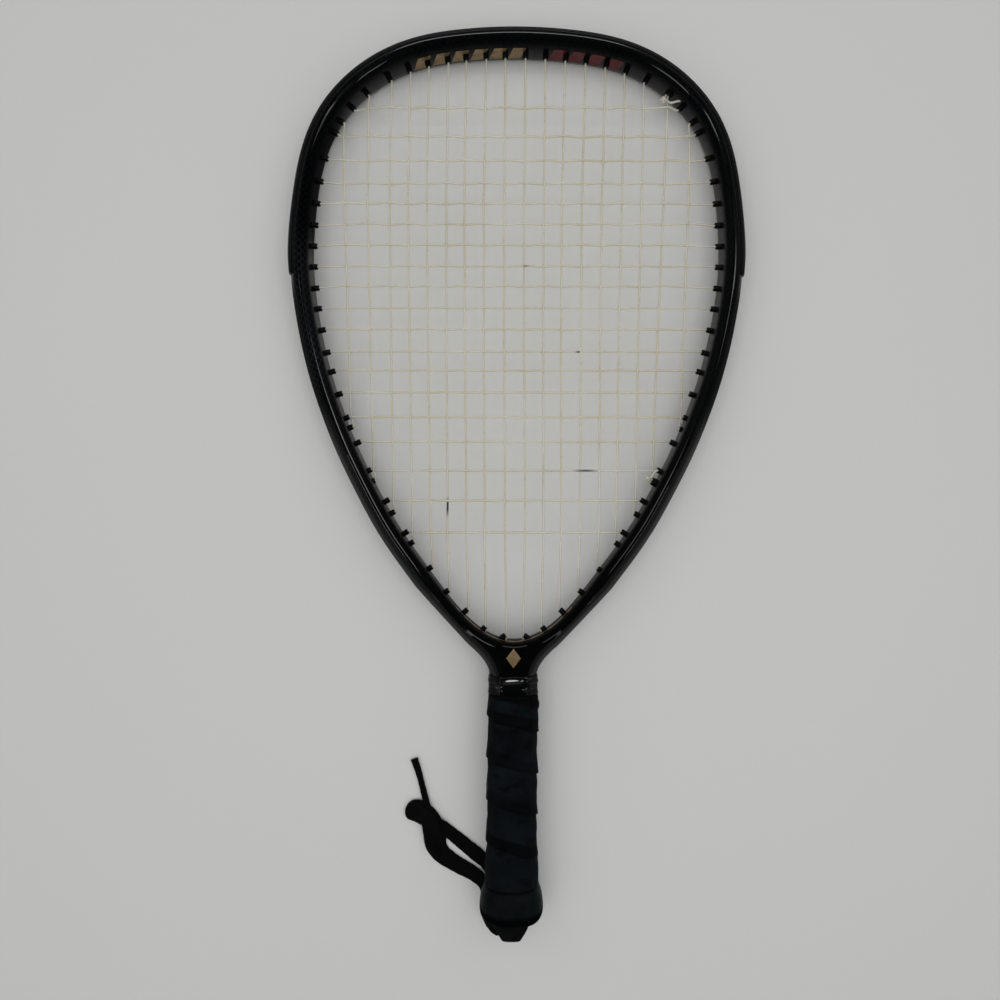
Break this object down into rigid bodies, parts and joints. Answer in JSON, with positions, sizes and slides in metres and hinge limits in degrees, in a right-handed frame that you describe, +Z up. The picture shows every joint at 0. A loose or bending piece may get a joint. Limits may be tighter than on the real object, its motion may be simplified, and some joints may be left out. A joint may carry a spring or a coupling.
{
  "type": "racquetball racket",
  "caption": "Teardrop-head racquetball racket with woven strings, bumper guard, wrapped grip, flared butt cap and a webbing wrist lanyard.",
  "frame": {"origin": "centre of the racket's box, on the surface it lies on", "axes": "+X across the strings, +Y along the handle towards the head, +Z up out of the string face"},
  "size_m": [0.28, 0.5583, 0.035],
  "materials": {
    "graphite": "glossy black moulded graphite with a fine carbon speckle",
    "guard_nylon": "black moulded nylon",
    "string": "cream synthetic gut, worn glossy",
    "pallet_foam": "dense moulded foam, hidden",
    "staple_steel": "bright wire, hidden",
    "grip": "tacky dark slate wrap with raised overlaps",
    "tape": "glossy black vinyl tape, wrinkled",
    "cap_rubber": "smooth dark slate rubber",
    "plug_nylon": "black moulded nylon",
    "webbing": "black flat woven lace"
  },
  "bodies": {
    "racket": {"frame": "graphite", "bumper_guard": "guard_nylon", "grommet_strip_left": "guard_nylon", "grommet_strip_right": "guard_nylon", "main_string": "string", "cross_string": "string", "pallet_front": "pallet_foam", "pallet_back": "pallet_foam", "pallet_staple_front_upper": "staple_steel", "pallet_staple_front_lower": "staple_steel", "pallet_staple_back_upper": "staple_steel", "pallet_staple_back_lower": "staple_steel", "grip_wrap": "grip", "finishing_tape": "tape", "butt_cap": "cap_rubber", "lanyard_plug": "plug_nylon"},
    "lanyard": {"lanyard_strand_upper": "webbing", "lanyard_strand_lower": "webbing", "lanyard_knot": "webbing", "lanyard_tail": "webbing", "lanyard_short_end": "webbing"}
  },
  "joints": [
    {"name": "lanyard_swing", "type": "hinge", "parent": "racket", "child": "lanyard", "pos_m": [0, -0.27486, 0.01767], "axis": [0, 0, 1], "range_deg": [0, 170]}
  ]
}
